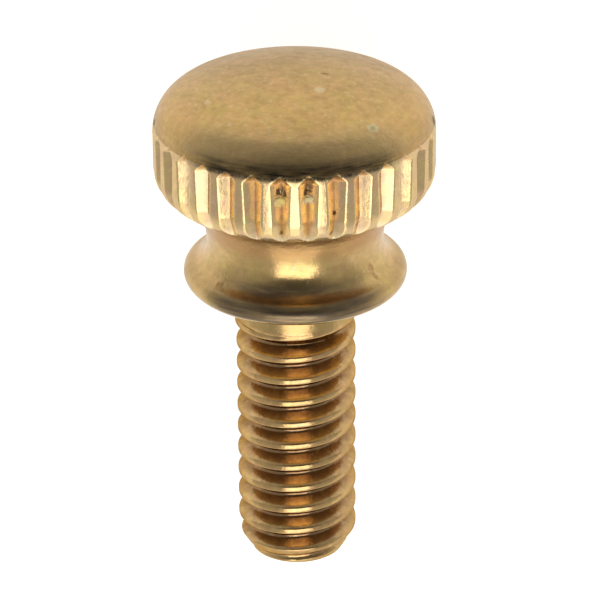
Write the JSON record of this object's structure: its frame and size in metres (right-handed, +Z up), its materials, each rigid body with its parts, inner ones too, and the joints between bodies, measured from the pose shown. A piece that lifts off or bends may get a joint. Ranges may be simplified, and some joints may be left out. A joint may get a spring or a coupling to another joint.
{
  "type": "thumb screw",
  "caption": "Turned brass thumb screw with a domed, straight-knurled head, a waisted neck, a round collar and a coarse threaded shank, lying on its side.",
  "frame": {"origin": "on the floor, below the middle of the lying screw's box", "axes": "+Y from the tip towards the head, along the floor; +X to the side; +Z up from the floor. The screw's own axis rises 11.3 degrees from the floor towards the head"},
  "size_m": [0.0144, 0.0276, 0.0146],
  "materials": {
    "brass": "turned brass, satin on the crown and bright on the collar, knurl and thread, lightly tarnished"
  },
  "bodies": {
    "root": {"thumb_screw": "brass"}
  },
  "joints": []
}
